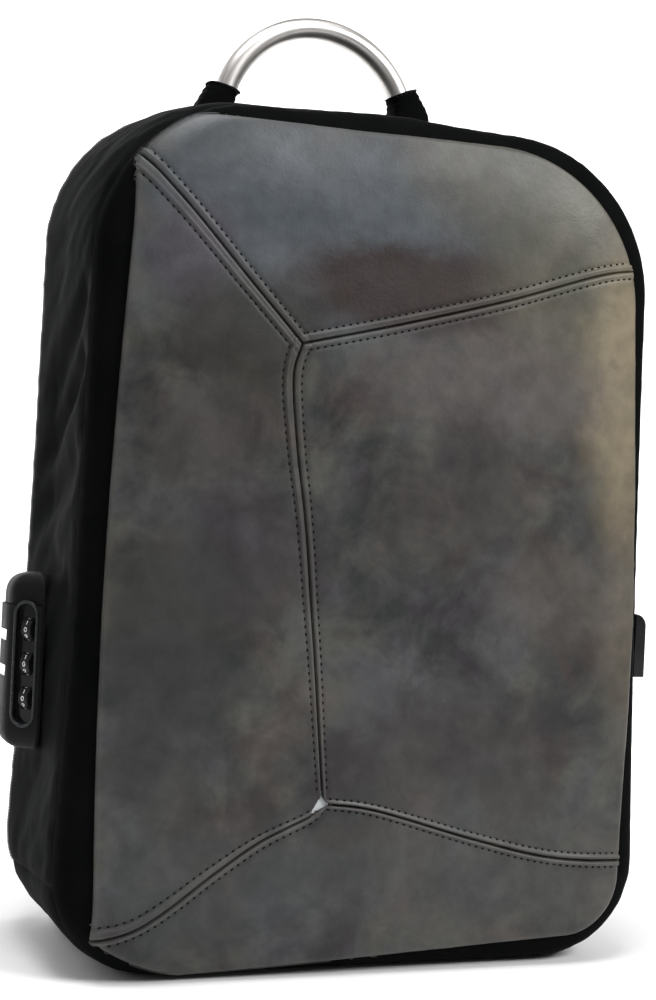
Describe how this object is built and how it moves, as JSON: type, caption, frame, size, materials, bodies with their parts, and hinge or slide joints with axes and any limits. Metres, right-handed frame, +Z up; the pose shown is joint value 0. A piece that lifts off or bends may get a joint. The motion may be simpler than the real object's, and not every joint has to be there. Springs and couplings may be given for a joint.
{
  "type": "anti theft backpack",
  "caption": "Upright anti theft backpack with a sewn leather front, soft black body, metal tube handle, side combination lock and charging port.",
  "frame": {"origin": "on the ground under the middle of the base", "axes": "+X towards the charging port, +Y from the leather front towards the back and shoulder straps, +Z up"},
  "size_m": [0.3569, 0.2302, 0.5332],
  "materials": {
    "nylon": "matte black woven cloth with a slight sheen",
    "leather": "mottled grey pull-up leather with black stitching",
    "patch_cloth": "pale grey cloth",
    "satin_aluminium": "satin brushed tube",
    "black_plastic": "moulded black plastic",
    "zip_tape": "black zip tape and coil",
    "slider_metal": "gunmetal paint",
    "mesh_pad": "padded black spacer mesh",
    "webbing": "ribbed black webbing"
  },
  "bodies": {
    "root": {"side_band": "nylon", "back_band": "nylon", "base_panel": "nylon", "front_panel": "nylon", "back_panel": "mesh_pad", "zip_chain": "zip_tape", "front_leather_top": "leather", "front_leather_left": "leather", "front_leather_right": "leather", "front_leather_bottom": "leather", "seam_junction_patch": "patch_cloth", "handle_tube": "satin_aluminium", "handle_cuff_left": "nylon", "handle_cuff_right": "nylon", "lock_housing": "black_plastic", "port_housing": "black_plastic", "zip_slider_upper": "slider_metal", "zip_slider_lower": "slider_metal", "shoulder_strap_left": "mesh_pad", "shoulder_strap_right": "mesh_pad", "strap_webbing_left": "webbing", "strap_webbing_right": "webbing", "strap_adjuster_left": "black_plastic", "strap_adjuster_right": "black_plastic"},
    "release": {"lock_release": "black_plastic"},
    "dial_1": {"lock_dial_1": "black_plastic"},
    "dial_2": {"lock_dial_2": "black_plastic"},
    "dial_3": {"lock_dial_3": "black_plastic"}
  },
  "joints": [
    {"name": "release_slide", "type": "slide", "parent": "root", "child": "release", "axis": [0, 0, 1], "range_m": [0, 0.004]},
    {"name": "dial_1_spin", "type": "hinge", "parent": "root", "child": "dial_1", "pos_m": [-0.17252, -0.01523, 0.1731], "axis": [-0.6971, 0.717, 0], "continuous": true},
    {"name": "dial_2_spin", "type": "hinge", "parent": "root", "child": "dial_2", "pos_m": [-0.17252, -0.01523, 0.155], "axis": [-0.6971, 0.717, 0], "continuous": true},
    {"name": "dial_3_spin", "type": "hinge", "parent": "root", "child": "dial_3", "pos_m": [-0.17252, -0.01523, 0.1369], "axis": [-0.6971, 0.717, 0], "continuous": true}
  ]
}
